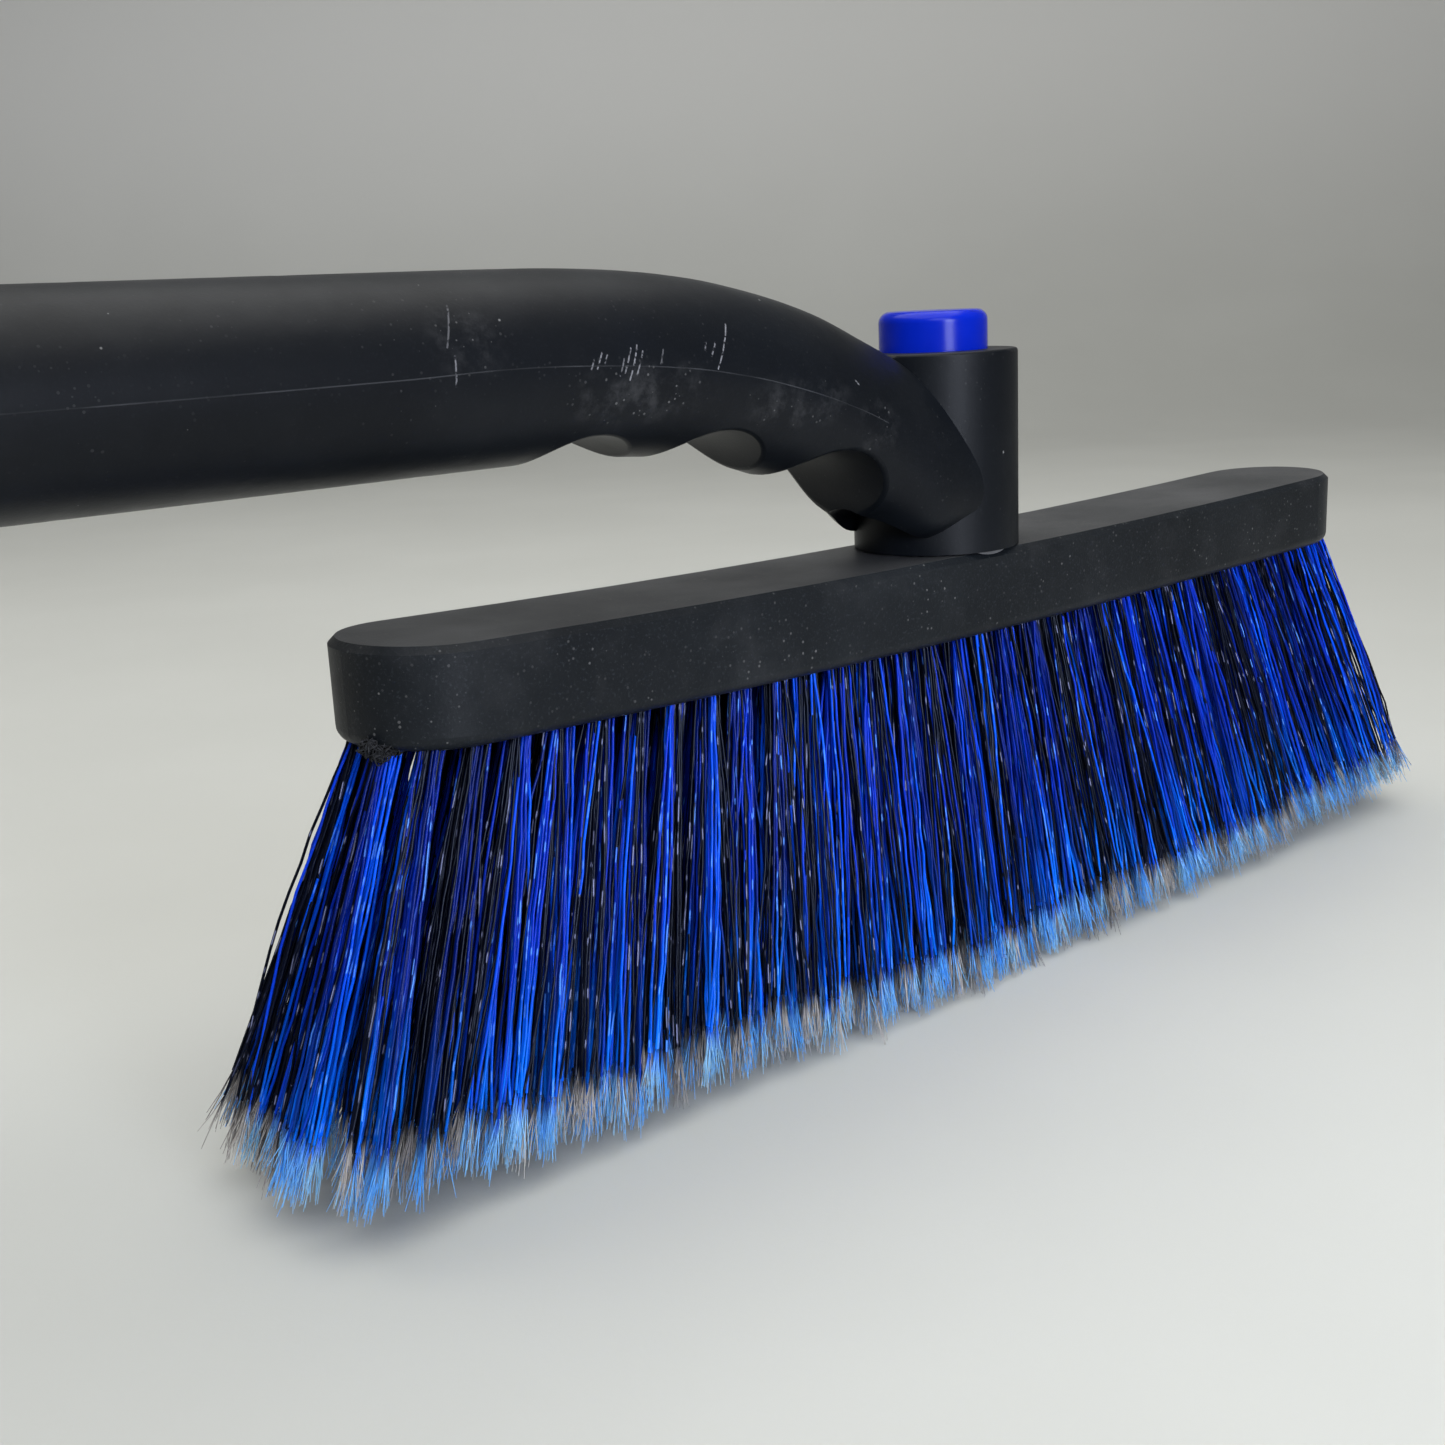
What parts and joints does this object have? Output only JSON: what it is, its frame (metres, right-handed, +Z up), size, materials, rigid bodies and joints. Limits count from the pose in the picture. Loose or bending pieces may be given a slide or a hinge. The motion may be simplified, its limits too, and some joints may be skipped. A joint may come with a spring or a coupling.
{
  "type": "swivel-head snow broom",
  "caption": "Hand broom with a long bristle head that swivels on a push-button boss at the end of a finger-grooved handle.",
  "frame": {"origin": "centre of the whole broom's footprint, on the plane that the longest bristle tips stand on", "axes": "+X towards the head's free end with the handle towards -X, +Y to the left when looking along +X, +Z up through the swivel post"},
  "size_m": [0.7562, 0.0522, 0.1481],
  "materials": {
    "handle_plastic": "matte black moulded plastic, lightly scuffed",
    "block_plastic": "matte black moulded plastic, fine grain",
    "cap_plastic": "matte black moulded plastic",
    "post_plastic": "satin dark grey acetal",
    "button_plastic": "glossy royal blue plastic",
    "bristle_blue": "glossy blue filament with frayed pale tips",
    "bristle_black": "glossy black filament with frayed grey tips",
    "pole_aluminium": "satin anodised tube",
    "grip_foam": "closed-cell black foam",
    "screw_steel": "zinc-plated screw",
    "spring_steel": "bright spring steel",
    "washer_acetal": "black acetal",
    "washer_nylon": "natural nylon",
    "anchor_wire": "galvanised flat wire"
  },
  "bodies": {
    "handle": {"handle_neck": "handle_plastic", "pole": "pole_aluminium", "pole_screws": "screw_steel", "grip_sleeve": "grip_foam", "end_cap": "cap_plastic"},
    "head": {"bristle_block": "block_plastic", "swivel_post": "post_plastic", "post_screws": "screw_steel", "thrust_washer": "washer_acetal", "retaining_washer": "washer_nylon", "retaining_clip": "spring_steel", "tufts_front_outer_blue": "bristle_blue", "tufts_front_outer_black": "bristle_black", "tufts_front_inner_blue": "bristle_blue", "tufts_front_inner_black": "bristle_black", "tufts_back_inner_blue": "bristle_blue", "tufts_back_inner_black": "bristle_black", "tufts_back_outer_blue": "bristle_blue", "tufts_back_outer_black": "bristle_black", "anchors_front_outer": "anchor_wire", "anchors_front_inner": "anchor_wire", "anchors_back_inner": "anchor_wire", "anchors_back_outer": "anchor_wire"},
    "button": {"release_button": "button_plastic", "button_spring": "spring_steel"}
  },
  "joints": [
    {"name": "head_swivel", "type": "hinge", "parent": "handle", "child": "head", "pos_m": [0.2119, 0, 0.0885], "axis": [0, 0, 1], "range_deg": [-90, 90]},
    {"name": "button_press", "type": "slide", "parent": "handle", "child": "button", "axis": [0, 0, -1], "range_m": [0, 0.005], "deforming": ["button_spring"]}
  ]
}
